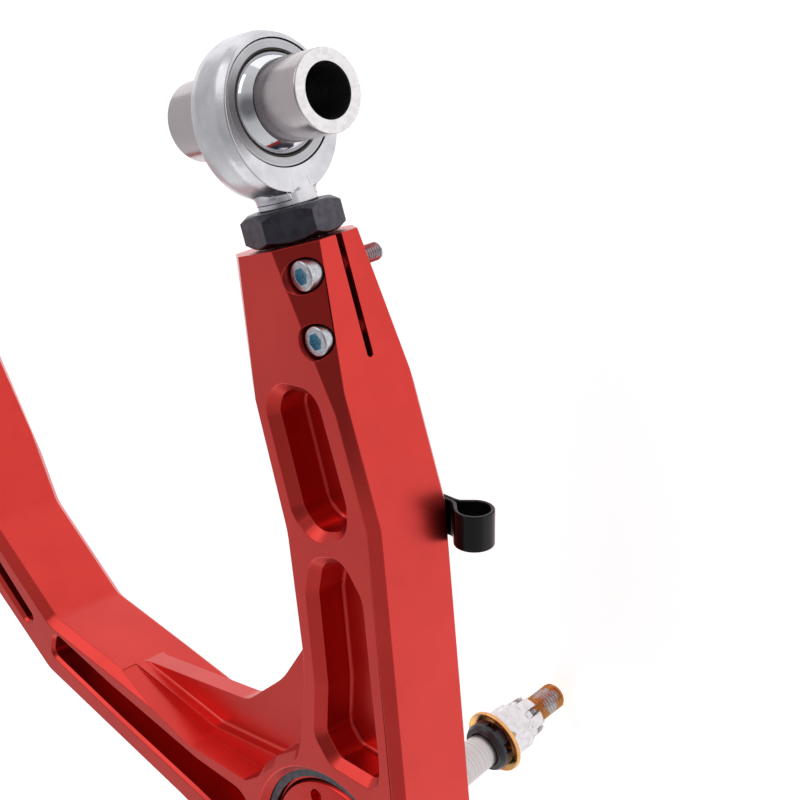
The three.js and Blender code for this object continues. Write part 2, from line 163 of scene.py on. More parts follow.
def lathe(name, profile, axis, at=(0, 0, 0), segments=96, hollow=False, matrix=None):
    """A solid of revolution; profile holds (along, radius, rounding) from end to end."""
    line = rounded(profile, closed=hollow, step=15)
    across = axis.orthogonal().normalized()
    other = axis.cross(across)
    bm = bmesh.new()
    loops = []
    for k in range(segments):
        a = 2 * math.pi * k / segments
        out = across * math.cos(a) + other * math.sin(a)
        loops.append([Vector(at) + axis * p.x + out * p.y for p in line])
    verts = [[bm.verts.new(p) for p in loop] for loop in loops]
    count = len(line)
    for k in range(segments):
        near, far = verts[k], verts[(k + 1) % segments]
        for i in range(count if hollow else count - 1):
            j = (i + 1) % count
            bm.faces.new((near[i], near[j], far[j], far[i]))
    bmesh.ops.remove_doubles(bm, verts=bm.verts, dist=1e-4)
    return build(name, bm, matrix)


def cylinder(r, low, high, axis, at, segments, matrix=None):
    """A plain rod, used to cut round holes."""
    profile = [(low, 0), (low, r), (high, r), (high, 0)]
    return lathe("tool", profile, axis, at, segments, matrix=matrix)


def prism(name, flats, low, high, axis, at=(0, 0, 0), phase=0.0, matrix=None):
    """A hexagonal prism along an axis."""
    across = axis.orthogonal().normalized()
    other = axis.cross(across)
    bm = bmesh.new()
    loops = []
    for along in (low, high):
        loop = []
        for k in range(6):
            a = phase + k * math.pi / 3
            out = across * math.cos(a) + other * math.sin(a)
            loop.append(Vector(at) + axis * along + out * (flats / math.sqrt(3)))
        loops.append(loop)
    rings(bm, loops)
    return build(name, bm, matrix)


def thread(name, radius, pitch, depth, start, end, axis, at=(0, 0, 0), matrix=None, segments=48):
    """A threaded rod: a V thread that fades in at its first turn and is chamfered at its end."""
    across = axis.orthogonal().normalized()
    other = axis.cross(across)
    rows = int(abs(end - start) / pitch * 7)
    bm = bmesh.new()
    loops = []
    for row in range(rows + 1):
        along = start + (end - start) * row / rows
        run, left = abs(along - start), abs(end - along)
        fade = min(1, run / pitch)
        loop = []
        for k in range(segments):
            a = 2 * math.pi * k / segments
            wave = abs(((run / pitch - k / segments) % 1) * 2 - 1)
            r = radius - depth * fade * max(0, min(1, 1.35 * wave - 0.15))
            r = min(r, radius - depth - 0.2 + left)
            out = across * math.cos(a) + other * math.sin(a)
            loop.append(Vector(at) + axis * along + out * r)
        loops.append(loop)
    rings(bm, loops)
    return build(name, bm, matrix)


def block(name, size, matrix):
    """A box of that size, centred, then placed by a matrix in millimetres."""
    bm = bmesh.new()
    bmesh.ops.create_cube(bm, size=1)
    bm.transform(Matrix.Diagonal((*size, 1)))
    return build(name, bm, matrix)


def applied(obj):
    """Makes an object's modifiers part of its mesh."""
    depsgraph = bpy.context.evaluated_depsgraph_get()
    mesh = bpy.data.meshes.new_from_object(obj.evaluated_get(depsgraph))
    obj.modifiers.clear()
    obj.data = mesh
    return obj


def boolean(obj, tools, operation="DIFFERENCE"):
    for tool in tools:
        modifier = obj.modifiers.new("boolean", "BOOLEAN")
        modifier.object = tool
        modifier.operation = operation
        modifier.solver = "EXACT"
    applied(obj)
    for tool in tools:
        bpy.data.objects.remove(tool)
    return obj


def joined(obj, others):
    """One object that holds the meshes of several."""
    bm = bmesh.new()
    for part in [obj, *others]:
        bm.from_mesh(part.data)
    bm.to_mesh(obj.data)
    bm.free()
    for part in others:
        bpy.data.objects.remove(part)
    return obj


def softened(obj, width, angle=28, segments=2):
    """Rounds the edges that are sharper than an angle, and keeps the result inside its old box."""
    corners = [Vector(corner) for corner in obj.bound_box]
    low, high = corners[0], corners[6]
    modifier = obj.modifiers.new("edges", "BEVEL")
    modifier.width = width
    modifier.segments = segments
    modifier.limit_method = "ANGLE"
    modifier.angle_limit = math.radians(angle)
    modifier.use_clamp_overlap = False
    modifier.harden_normals = False
    applied(obj)
    for vertex in obj.data.vertices:
        vertex.co = [max(a, min(b, c)) for a, b, c in zip(low, high, vertex.co)]
    return obj


def smooth(obj, angle=32):
    """Smooth shading up to an angle, with flat faces kept flat beside their rounded edges."""
    obj.data.shade_smooth()
    obj.data.set_sharp_from_angle(angle=math.radians(angle))
    modifier = obj.modifiers.new("normals", "WEIGHTED_NORMAL")
    modifier.weight = 100
    modifier.keep_sharp = True
    return applied(obj)


def place(obj, material, body, slot, *nodes):
    """Finishes a piece: its material, the body it rides on and the CAD nodes it stands for."""
    obj.data.transform(Matrix.Scale(MM, 4))
    obj.data.materials.clear()
    obj.data.materials.append(material)
    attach(obj, body)
    if nodes:
        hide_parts(*nodes)
    return obj


# ---- materials ----
class Nodes:
    """A node material being built; s is its Principled shader."""

    def __init__(self, name, color, rough, metallic=1.0, **sockets):
        self.material = bpy.data.materials.new(name)
        self.material.use_nodes = True
        self.tree = self.material.node_tree
        self.s = self.tree.nodes["Principled BSDF"]
        self.s.inputs["Base Color"].default_value = (*color, 1)
        self.s.inputs["Roughness"].default_value = rough
        self.s.inputs["Metallic"].default_value = metallic
        for key, value in sockets.items():
            self.s.inputs[key.replace("_", " ")].default_value = value
        self.place = self.node("ShaderNodeTexCoord").outputs["Object"]

    def node(self, kind, inputs=None, **settings):
        made = self.tree.nodes.new(kind)
        for key, value in settings.items():
            setattr(made, key, value)
        for key, value in (inputs or {}).items():
            if isinstance(value, bpy.types.NodeSocket):
                self.tree.links.new(value, made.inputs[key])
            else:
                made.inputs[key].default_value = value
        return made

    def math(self, operation, *values):
        made = self.node("ShaderNodeMath", dict(enumerate(values)), operation=operation)
        return made.outputs[0]

    def vector(self, operation, *values):
        made = self.node("ShaderNodeVectorMath", dict(enumerate(values)), operation=operation)
        return made.outputs["Value" if operation in ("DOT_PRODUCT", "LENGTH") else "Vector"]

    def noise(self, size, detail=3.0, stretch=(1, 1, 1), rough=0.55):
        """Noise whose blobs are about that many millimetres across."""
        at = self.vector("MULTIPLY", self.place, tuple(1000 * k for k in stretch))
        inputs = {"Vector": at, "Scale": 1 / size, "Detail": detail, "Roughness": rough}
        return self.node("ShaderNodeTexNoise", inputs).outputs["Fac"]

    def ramp(self, value, low, high, to_low=0.0, to_high=1.0):
        inputs = {"Value": value, "From Min": low, "From Max": high}
        inputs.update({"To Min": to_low, "To Max": to_high})
        return self.node("ShaderNodeMapRange", inputs).outputs["Result"]

    def mix(self, factor, a, b):
        inputs = {"Factor": factor, "A": (*a, 1) if isinstance(a, tuple) else a,
                  "B": (*b, 1) if isinstance(b, tuple) else b}
        made = self.tree.nodes.new("ShaderNodeMix")
        made.data_type = "RGBA"
        for key, value in inputs.items():
            socket = next(i for i in made.inputs if i.name == key and i.enabled)
            if isinstance(value, bpy.types.NodeSocket):
                self.tree.links.new(value, socket)
            else:
                socket.default_value = value
        return next(o for o in made.outputs if o.enabled)

    def axial(self, axis, at=(0, 0, 0)):
        """How far along an axis a point is, and how far from it, both in millimetres."""
        scaled = self.vector("MULTIPLY", self.place, (1000, 1000, 1000))
        mm = self.vector("SUBTRACT", scaled, tuple(at))
        along = self.vector("DOT_PRODUCT", mm, tuple(axis))
        inputs = {0: tuple(axis), "Scale": along}
        line = self.node("ShaderNodeVectorMath", inputs, operation="SCALE")
        out = self.vector("LENGTH", self.vector("SUBTRACT", mm, line.outputs["Vector"]))
        return along, out

    def tool_marks(self, axis, at, pitch):
        """Rings left by a lathe tool on cylinders and end faces alike."""
        along, out = self.axial(axis, at)
        w = self.math("ADD", along, out)
        inputs = {"W": w, "Scale": 1 / pitch, "Detail": 2.0}
        return self.node("ShaderNodeTexNoise", inputs, noise_dimensions="1D").outputs["Fac"]

    def color(self, value):
        self.tree.links.new(value, self.s.inputs["Base Color"])
        return self

    def rough(self, value):
        self.tree.links.new(value, self.s.inputs["Roughness"])
        return self

    def bump(self, height, distance, strength=1.0):
        """Relief of that many millimetres."""
        inputs = {"Height": height, "Distance": distance * MM, "Strength": strength}
        made = self.node("ShaderNodeBump", inputs)
        self.tree.links.new(made.outputs["Normal"], self.s.inputs["Normal"])
        return self


def anodised(name, color, dark, rough):
    """Satin anodised aluminium: fine milling grain, faint cloudiness and a clear oxide layer."""
    m = Nodes(name, color, rough, Coat_Weight=0.35, Coat_Roughness=0.28, Coat_IOR=1.6)
    cloud = m.noise(24, 4)
    grain = m.noise(0.35, 3, (1, 0.35, 1))
    m.color(m.mix(m.ramp(cloud, 0.3, 0.7), color, dark))
    broad = m.ramp(cloud, 0.3, 0.7, rough - 0.03, rough + 0.03)
    m.rough(m.math("ADD", broad, m.ramp(grain, 0.3, 0.7, -0.03, 0.03)))
    return m.bump(grain, 0.012, 0.35).material


def turned_metal(name, color, dark, rough, axis, at, pitch=0.5, relief=0.01, metallic=1.0):
    """Metal off a lathe, with its tool marks round the given axis."""
    m = Nodes(name, color, rough, metallic)
    marks = m.tool_marks(axis, at, pitch)
    cloud = m.noise(7, 4)
    patchy = m.math("MULTIPLY", m.ramp(marks, 0.3, 0.7), m.ramp(cloud, 0.25, 0.75, 0.4, 1.0))
    m.color(m.mix(patchy, color, dark))
    grooved = m.ramp(marks, 0.3, 0.7, rough - 0.06, rough + 0.06)
    m.rough(m.math("ADD", grooved, m.ramp(cloud, 0.3, 0.7, -0.04, 0.04)))
    return m.bump(marks, relief, 0.5).material


def forged_zinc(name, axis, at):
    """Zinc plate on a forging: pits and dark specks, smooth where the faces were machined."""
    m = Nodes(name, (0.66, 0.67, 0.69), 0.3)
    along, _ = m.axial(axis, at)
    skin = m.ramp(m.math("ABSOLUTE", along), 8.2, 8.6, 1.0, 0.0)
    pits = m.noise(1.5, 5, rough=0.7)
    patches = m.ramp(m.noise(9, 2), 0.48, 0.62)
    specks = m.math("MULTIPLY", m.ramp(m.noise(0.9, 3), 0.66, 0.74), patches)
    cloud = m.noise(11, 4)
    base = m.mix(m.ramp(cloud, 0.3, 0.7), (0.7, 0.7, 0.73), (0.5, 0.5, 0.53))
    dark = m.math("MULTIPLY", specks, m.math("MULTIPLY", skin, 0.8))
    m.color(m.mix(dark, base, (0.08, 0.085, 0.09)))
    m.rough(m.math("ADD", m.ramp(cloud, 0.3, 0.7, 0.2, 0.32), m.math("MULTIPLY", skin, 0.04)))
    depth = m.math("ADD", m.math("MULTIPLY", skin, 0.85), 0.15)
    return m.bump(m.math("MULTIPLY", pits, depth), 0.09, 0.6).material


def plated(name, color, dark, rough, size=2.2, metallic=1.0, relief=0.02):
    """Plated or coated metal with small stains."""
    m = Nodes(name, color, rough, metallic)
    stain = m.noise(size, 5, rough=0.65)
    m.color(m.mix(m.ramp(stain, 0.42, 0.68), color, dark))
    m.rough(m.ramp(m.noise(size * 2, 3), 0.3, 0.7, rough - 0.07, rough + 0.08))
    return m.bump(m.noise(0.5, 3), relief, 0.5).material


def polished(name, color, rough):
    """Chromed bearing steel, with faint smears."""
    m = Nodes(name, color, rough)
    m.rough(m.ramp(m.noise(6, 4, (1, 0.4, 1)), 0.35, 0.75, rough, rough + 0.07))
    return m.bump(m.noise(3, 2), 0.002, 0.3).material


def moulded(name, color, rough, grain=0.6, relief=0.02, **sockets):
    """Moulded or dipped plastic."""
    m = Nodes(name, color, rough, 0.0, **sockets)
    wave = m.noise(3.5, 3)
    light = tuple(min(1, c * 1.5 + 0.002) for c in color)
    m.color(m.mix(m.ramp(wave, 0.35, 0.75, 0, 0.6), color, light))
    m.rough(m.ramp(wave, 0.3, 0.7, rough - 0.04, rough + 0.06))
    return m.bump(m.noise(grain, 3), relief, 0.5).material


def stud_steel():
    """Ground steel shank that turns to a coppery thread coating near its tip."""
    m = Nodes("stud_steel", (0.6, 0.57, 0.57), 0.34)
    along, _ = m.axial(STUD_WAY, JOINT)
    marks = m.tool_marks(STUD_WAY, JOINT, 0.6)
    patchy = m.math("ADD", along, m.ramp(m.noise(3.5, 4), 0.2, 0.8, -4.5, 4.5))
    band = m.math("MULTIPLY", m.ramp(patchy, 83, 84.2), m.ramp(patchy, 89.6, 88.4))
    coated = m.math("MAXIMUM", m.ramp(patchy, 93.5, 94.8), band)
    steel = m.mix(m.ramp(marks, 0.3, 0.7), (0.66, 0.62, 0.62), (0.48, 0.46, 0.46))
    m.color(m.mix(coated, steel, (0.6, 0.27, 0.09)))
    m.rough(m.ramp(marks, 0.3, 0.7, 0.28, 0.4))
    return m.bump(marks, 0.002, 0.5).material


RED = anodised("red_anodised_satin", (0.63, 0.032, 0.024), (0.57, 0.026, 0.019), 0.33)
RED_CAP = anodised("red_anodised_cap", (0.66, 0.02, 0.014), (0.58, 0.018, 0.012), 0.2)
CHROME = polished("chromed_ball", (0.78, 0.79, 0.82), 0.045)
LINER = moulded("fabric_liner", (0.05, 0.04, 0.032), 0.7)
SEAT = moulded("seat_polymer", (0.75, 0.72, 0.64), 0.5)
BLACK_OXIDE = plated("black_oxide", (0.075, 0.07, 0.09), (0.042, 0.04, 0.052), 0.36, 3.0, 0.85)
ZINC_BOLT = plated("zinc_bolt", (0.56, 0.57, 0.6), (0.36, 0.38, 0.42), 0.3, 1.2)
BLUE_ZINC = plated("blue_zinc_socket", (0.3, 0.5, 0.62), (0.55, 0.68, 0.74), 0.25, 1.0)
SPRING = plated("spring_steel", (0.1, 0.1, 0.11), (0.06, 0.06, 0.07), 0.35, 2.0, 0.9)
NUT_ZINC = plated("bright_zinc_nut", (0.8, 0.81, 0.83), (0.64, 0.65, 0.67), 0.36, 2.2, 0.9)
YELLOW = plated("yellow_zinc", (0.78, 0.46, 0.14), (0.74, 0.36, 0.22), 0.27, 4.0)
VINYL = moulded("black_vinyl", (0.003, 0.003, 0.004), 0.2, 1.4, 0.03, Specular_IOR_Level=0.25)
PLASTIC = moulded("black_plastic", (0.012, 0.012, 0.017), 0.32, 0.5, 0.02)
STUD = stud_steel()
FACED = plated("faced_steel", (0.78, 0.76, 0.77), (0.66, 0.64, 0.65), 0.3, 1.6)
# near-black steel laid in the spacers' bores: painted shade inside the hole
BORE_PAINTED_SHADE = plated("bore_painted_shade", (0.05, 0.048, 0.048), (0.025, 0.024, 0.024), 0.5, 1.5, 0.7)


# ---- arm body ----
def near(corners):
    return [(NEAR + c[0], c[1], *c[2:]) for c in corners]


def body_outline():
    return rounded(near([
        (-CLAMP_HALF, OVERRUN), (21.2, OVERRUN), (25.5, 134, 30), (34.8, 176.5),
        (49, 180.5, 6), (65, 192.2, 30), (88.5, 201.2, 12), (145, 187.9),
        (179.2, 168, 9), (203.2, 130, 9),
        (SPACING - CLAMP_HALF, END_Y), (SPACING - CLAMP_HALF, OVERRUN),
        (SPACING + CLAMP_HALF, OVERRUN), (SPACING + CLAMP_HALF, 78, 20),
        (231, 131, 14), (192, 189.5, 14), (122.5, 240, 40),
        (94, 279, 30), (50, 301.75, 34), (14, 271.5, 30),
        (-CLAMP_HALF, 136),
    ]))


def pocket(corners, rim=EDGE, fillet=1.6):
    """The same pocket as two cutting tools, one in each face, with a fillet round its floor."""
    wall = rounded(near(corners))
    sections = []
    for k in range(5):
        a = math.pi / 8 * k
        height = WEB + fillet * (1 - math.cos(a))
        sections.append((height, offset(wall, -fillet * (1 - math.sin(a)))))
    sections += [(HALF - rim, wall), (HALF + 1, offset(wall, rim + 1))]
    underneath = [(-z, points) for z, points in reversed(sections)]
    return [loft("tool", sections), loft("tool", underneath)]


def facet(centre, side, up, z, slope):
    """The block to cut away for one corner facet of a clamp."""
    normal = Vector((side * FACET_SLOPE, -slope, up)).normalized()
    turn = Z.rotation_difference(normal).to_matrix().to_4x4()
    at = Matrix.Translation((centre + side * CLAMP_HALF, END_Y, up * z))
    return block("tool", (150, 150, 150), at @ turn @ Matrix.Translation((0, 0, 75)))


def clamp_tools(centre, outer):
    """Bore, slit, end face, corner facets and bolt seats of one clamp."""
    over = CLAMP_HALF + 2
    bore = [(END_Y - 1, 0), (END_Y - 1, BORE_R + 1.2), (END_Y + 1.2, BORE_R), (BORE_END, BORE_R),
            (BORE_END, 0)]
    slit = Matrix.Translation((centre + outer * over / 2, (SLIT_END + END_Y - 1) / 2, 0))
    end = Matrix.Translation((centre, END_Y - 10, 0))
    tools = [
        lathe("tool", bore, Y, (centre, 0, 0)),
        block("tool", (over, SLIT_END - END_Y + 1, 2 * SLIT_HALF), slit),
        cylinder(SLIT_HALF, 0, over, X * outer, (centre, SLIT_END, 0), 24),
        block("tool", (2 * CLAMP_HALF + 10, 20, 2 * HALF + 4), end),
    ]
    for up in (-1, 1):
        tools += [facet(centre, outer, up, *OUTER_FACET), facet(centre, -outer, up, *INNER_FACET)]
    for y, top, _ in BOLTS:
        floor = top - 6.3
        seat = [(-HALF - 2, 0), (-HALF - 2, 3.3), (floor, 3.3), (floor, 5.6), (HALF + 2, 5.6),
                (HALF + 2, 0)]
        tools.append(lathe("tool", seat, Z, (centre + outer * BOLT_X, y, 0), 48))
    return tools


def arm_body():
    edge = body_outline()
    inset = offset(edge, -EDGE)
    body = loft("arm", [(-HALF, inset), (-HALF + EDGE, edge), (HALF - EDGE, edge), (HALF, inset)])
    step = rounded(near([
        (72, 217), (107, 207), (144, 186), (145.4, 188), (112, 214.2, 9), (84, 225.8, 4),
        (75, 223.5, 3),
    ]))
    joint_bore = [
        (-HALF - 1, 0), (-HALF - 1, 18), (-12, 13.4), (-12, 24), (10.6, 24), (10.6, 31.2), (12, 33),
        (13.2, 33), (13.2, 34.4), (14.8, 34.4), (14.8, 33), (HALF + 1, 36.4), (HALF + 1, 0),
    ]
    window_by_clamp = pocket([
        (-7, 91, 6), (8, 87.4, 8), (13.2, 94, 6), (14.2, 128, 7), (9, 135.6, 8), (-4, 135.6, 8),
        (-7.3, 126, 8),
    ])
    window_by_joint = pocket([
        (1.5, 146.6, 5), (12.5, 146.3, 6), (18.5, 156, 8), (27, 189, 8), (34.4, 206, 5),
        (31, 214.5, 5), (14, 221.6, 3), (11, 214, 6), (-2.6, 158, 8),
    ])
    swept_by_clamp = pocket([
        (216.5, 96, 4), (226, 89, 7), (236.5, 95, 4), (219.8, 129.5, 8), (196.6, 168, 2.5),
        (190.6, 168.4, 1.8), (211.6, 132, 8),
    ], LIP, 1.2)
    swept_by_joint = pocket([
        (184.6, 181.2, 2.5), (180.5, 184.5, 3), (152, 205.5), (115, 231.5, 8), (94, 247.5, 5),
        (88, 240, 6), (86.5, 231.5, 8), (110, 220, 10), (152, 193.2), (179.6, 173.5, 3),
    ], LIP)
    crotch = pocket([
        (40, 150), (95, 150), (150, 180), (145, 187.9), (107, 210.5, 12), (74, 220, 4),
        (66, 216.5, 5), (53, 213.4, 4), (48.6, 207, 3), (37.6, 184.5, 8), (34.8, 176.5),
    ], EDGE, 1.2)
    boolean(body, [
        *window_by_clamp, *window_by_joint, *swept_by_clamp, *swept_by_joint, *crotch,
        loft("tool", [(LEDGE, step), (HALF + 1, step)]),
        lathe("tool", joint_bore, Z, (JOINT.x, JOINT.y, 0), 128),
        *clamp_tools(NEAR, -1), *clamp_tools(FAR, 1),
    ])
    softened(body, 0.28, 25)
    place(smooth(body, 30), RED, "arm", "red_anodised", "arm_body")


# ---- rod ends ----
def housing(side, at):
    """The rod end's oval eye with its flare, neck and threaded shank."""
    oval = Matrix.Translation((0, EYE_SHIFT, 0)) @ Matrix.Diagonal((1, EYE_STRETCH, 1, 1))
    section = [
        (-EYE_HALF, 0), (-EYE_HALF, 22, 0.6), (-4.6, 23.1, 9), (4.6, 23.1, 9),
        (EYE_HALF, 22, 0.6), (EYE_HALF, 0),
    ]
    eye = lathe(f"{side}_rod_end", section, X, at, 144, matrix=oval)
    section = [(18, 0), (18, 15.5), (22, 13, 12), (28.5, 9.6, 12), (31, 9.6), (31, 0)]
    flare = lathe("tool", section, Y, at, 96)
    boolean(flare, [block("tool", (16.8, 60, 60), Matrix.Translation(at))], "INTERSECT")
    section = [(26, 0), (26, 8.3), (27.8, 9.7, 1), (31.8, 9.7, 0.3), (31.8, 0)]
    neck = lathe("tool", section, Y, at, 96)
    boolean(eye, [flare, neck], "UNION")
    boolean(eye, [cylinder(RACE_SEAT_R, -10, 10, X, at, 144)])
    softened(eye, 0.3, 40)
    joined(eye, [thread("tool", SHANK_R, 1.41, 0.75, 31.9, 79, Y, at, segments=64)])
    finish = forged_zinc(f"{side}_forged_zinc", X, at)
    place(smooth(eye), finish, f"{side}_rod_end", "zinc_plated_steel", f"{side}_housing")


def outer_race(side, at):
    section = [
        (-8.3, 16.9, 0.3), (-8.3, RACE_R, 0.3), (8.3, RACE_R, 0.3), (8.3, 16.9, 0.3),
        (5.5, 18.3, 2), (3, 18.86, 2), (-3, 18.86, 2), (-5.5, 18.3, 2),
    ]
    race = lathe(f"{side}_outer_race", section, X, at, 144, hollow=True)
    finish = turned_metal(f"{side}_race", (0.5, 0.5, 0.52), (0.34, 0.34, 0.36), 0.3, X, at)
    place(smooth(race), finish, f"{side}_rod_end", "race_steel", f"{side}_race")


def bearing_ball(side, at):
    section = [(-BALL_FLAT, 11.3)]
    for k in range(33):
        along = -BALL_FLAT + 2 * BALL_FLAT * k / 32
        section.append((along, math.sqrt(BEARING_R**2 - along**2)))
    section.append((BALL_FLAT, 11.3))
    ball = lathe(f"{side}_bearing_ball", section, X, at, 144, hollow=True)
    place(smooth(ball, 40), CHROME, f"{side}_ball", "chromed_ball", f"{side}_ball")


def spacer(side, at, sign, label):
    """One misalignment spacer; its end face has a finish of its own, and its bore is painted near
    black as painted shade.
    """
    section = [
        (0.3, SPACER_BORE, 0.1), (0.3, 11, 0.1), (BALL_FLAT + 0.3, 11),
        (BALL_FLAT + 0.3, SPACER_R, 0.2), (SPACER_END, SPACER_R, 0.7),
        (SPACER_END, SPACER_BORE, 0.5),
    ]
    sleeve = lathe(f"{side}_misalignment_{label}", section, X * sign, at, 128, hollow=True)
    light, dark = (0.54, 0.49, 0.5), (0.42, 0.38, 0.39)
    finish = turned_metal(f"{side}_{label}_turned", light, dark, 0.22, X, at, 0.3, 0.002)
    place(smooth(sleeve), finish, f"{side}_spacers", "machined_steel", f"{side}_spacer_{label}")
    sleeve.data.materials.append(BORE_PAINTED_SHADE)
    sleeve.data.materials.append(FACED)
    # bore faces get the near-black painted shade; the outer end face gets its faced finish
    for face in sleeve.data.polygons:
        if math.hypot(face.center.y, face.center.z) < 9.1 * MM:
            face.material_index = 1
        elif abs(face.center.x - at[0] * MM) > 32.3 * MM:
            face.material_index = 2


def jam_nut(side, at):
    low, high, rim = NUT_LOW, NUT_HIGH, NUT_FLATS * 0.58
    nut = prism(f"{side}_hex_jam_nut", NUT_FLATS, low, high, Y, at, NUT_PHASE)
    section = [
        (low - 1, 0), (low - 1, NUT_FLATS / 2 - 2.2), (low + 2, rim), (high - 2, rim),
        (high + 1, NUT_FLATS / 2 - 2.2), (high + 1, 0),
    ]
    boolean(nut, [lathe("tool", section, Y, at, 144)], "INTERSECT")
    section = [
        (low - 1, 0), (low - 1, 10.9), (low + 1.2, 9.7), (high - 1.2, 9.7), (high + 1, 10.9),
        (high + 1, 0),
    ]
    boolean(nut, [lathe("tool", section, Y, at, 96)])
    softened(nut, 0.3, 20)
    place(smooth(nut, 25), BLACK_OXIDE, f"{side}_rod_end", "black_oxide_steel", f"{side}_jam_nut")


def rod_end(side, x, outer):
    at = (x, 0, 0)
    housing(side, at)
    outer_race(side, at)
    bearing_ball(side, at)
    spacer(side, at, outer, "outer")
    spacer(side, at, -outer, "inner")
    jam_nut(side, at)


def pinch_bolt(side, index, centre, outer, y, top, end):
    at = (centre + outer * BOLT_X, y, 0)
    under = top - BOLT_HEAD
    section = [
        (end + 8, 0), (end + 8, BOLT_R), (under, BOLT_R), (under, BOLT_HEAD_R, 0.4),
        (top, BOLT_HEAD_R, 0.7), (top, 0),
    ]
    bolt = lathe(f"{side}_socket_bolt_{index}", section, Z, at, 72)
    boolean(bolt, [prism("tool", BOLT_SOCKET, top - 3.2, top + 1, Z, at, 0.4)])
    softened(bolt, 0.2, 50)
    joined(bolt, [thread("tool", BOLT_R, 1, 0.5, end + 12, end, Z, at)])
    place(smooth(bolt), ZINC_BOLT, "arm", "zinc_plated_steel", f"{side}_pinch_bolt_{index}")
    bolt.data.materials.append(BLUE_ZINC)
    for face in bolt.data.polygons:
        away = Vector((face.center.x / MM - at[0], face.center.y / MM - at[1]))
        if away.length < 2.95 and face.center.z > (top - 3.5) * MM:
            face.material_index = 1


# ---- ball joint ----
def ball_joint():
    at = (JOINT.x, JOINT.y, 0)
    section = [
        (11.4, 0), (11.4, 30), (12.3, 32.4, 0.3), (12.9, 32.4, 0.2), (12.9, 29.4, 0.4),
        (14.6, 28.2, 1.2), (15.4, 20, 5), (15.8, 0),
    ]
    cap = lathe("threaded_cap", section, Z, at, 144)
    holes = []
    for k in range(4):
        a = k * math.pi / 2 - 1.59
        x, y = JOINT.x + HOLE_CIRCLE * math.cos(a), JOINT.y + HOLE_CIRCLE * math.sin(a)
        holes.append(cylinder(2.6, 12.4, 20, Z, (x, y, 0), 40))
    boolean(cap, holes)
    softened(cap, 0.25, 40)
    place(smooth(cap), RED_CAP, "arm", "red_cap", "ball_cap")

    section = [(13.5, 30.4, 0.25), (13.5, 34.1, 0.25), (14.5, 34.1, 0.25), (14.5, 30.4, 0.25)]
    ring = lathe("lock_ring", section, Z, at, 144, hollow=True)
    gap = block("tool", (8, 5, 4), Matrix.Translation((JOINT.x, JOINT.y + 32, 14)))
    boolean(ring, [gap])
    place(smooth(ring), SPRING, "arm", "spring_steel", "ball_lock_ring")


def stud_lathe(name, section, segments=96, hollow=False):
    return lathe(name, section, DOWN, segments=segments, hollow=hollow, matrix=STUD_FRAME)


def stud_slot(size, turn, at):
    """A block across the stud, turned about it, to cut a slot with."""
    spin = Matrix.Rotation(turn, 4, "Y")
    return block("tool", size, STUD_FRAME @ spin @ Matrix.Translation(at))


def stud():
    section = [(-BALL_R, 0)]
    for k in range(1, 29):
        a = math.pi * k / 32
        section.append((-BALL_R * math.cos(a), BALL_R * math.sin(a)))
    section += [(13.0, 6.1), (-6, 6.1), (-6, 0)]
    sphere = stud_lathe("stud_ball", section)
    place(smooth(sphere, 40), CHROME, "ball", "chromed_ball", "joint_ball")

    shank = stud_lathe("threaded_stud", [
        (-5.6, 0), (-5.6, 5.8, 0.3), (16, 5.8, 3), (20, 7.6, 3), (63.4, 6.2, 0.3), (64.2, 4.6),
        (66, 4.6), (66, 0),
    ])
    end = thread("tool", 5.05, 1.25, 0.6, 65, STUD_END, DOWN, matrix=STUD_FRAME, segments=56)
    joined(shank, [end])
    place(smooth(shank, 35), STUD, "stud", "machined_steel", "joint_stud")

    retainer = stud_lathe("castellated_retainer", [
        (58.6, 6.75, 0.2), (58.6, 8.6, 0.3), (60, 9.4, 0.3), (63.9, 9.4, 0.3), (63.9, 6.75, 0.2),
    ], hollow=True)
    notch = (5, 3.4, 3.6)
    boolean(retainer, [stud_slot(notch, k * math.pi / 3, (9.6, -63.2, 0)) for k in range(6)])
    softened(retainer, 0.2, 40)
    place(smooth(retainer), PLASTIC, "stud", "black_plastic", "stud_retainer")

    washer = stud_lathe("dished_washer", [
        (64.9, 5.4, 0.1), (64.9, 8, 2), (63.4, 12, 0.3), (65, 12.2, 0.3), (66.6, 8.2, 2),
        (66.6, 5.4, 0.1),
    ], hollow=True)
    place(smooth(washer, 40), YELLOW, "stud", "yellow_zinc", "stud_washer")

    castle_nut()


def castle_nut():
    low = CASTLE_LOW
    nut = prism("castle_nut", CASTLE_FLATS, low, low + 9.6, DOWN, phase=NUT_PHASE,
                matrix=STUD_FRAME)
    corners = stud_lathe("tool", [
        (low - 1, 0), (low - 1, 7.7), (low + 1.2, 9.7), (low + 8.4, 9.7), (low + 10.6, 7.4),
        (low + 10.6, 0),
    ])
    boolean(nut, [corners], "INTERSECT")
    crown = stud_lathe("tool", [
        (low + 9, 0), (low + 9, 7.9), (low + 15.6, 7.6), (low + 16.8, 6.8), (low + 16.8, 0),
    ])
    boolean(nut, [crown], "UNION")
    tools = [stud_lathe("tool", [
        (low - 1, 0), (low - 1, 6), (low + 0.8, 5.35), (low + 20, 5.35), (low + 20, 0),
    ], 64)]
    for k in range(3):
        turn = k * math.pi / 3 + math.pi / 6
        tools.append(stud_slot((20, 5, 2.6), turn, (0, -low - 15, 0)))
    boolean(nut, tools)
    softened(nut, 0.25, 28)
    place(smooth(nut), NUT_ZINC, "stud", "bright_zinc_nut", "stud_nut")


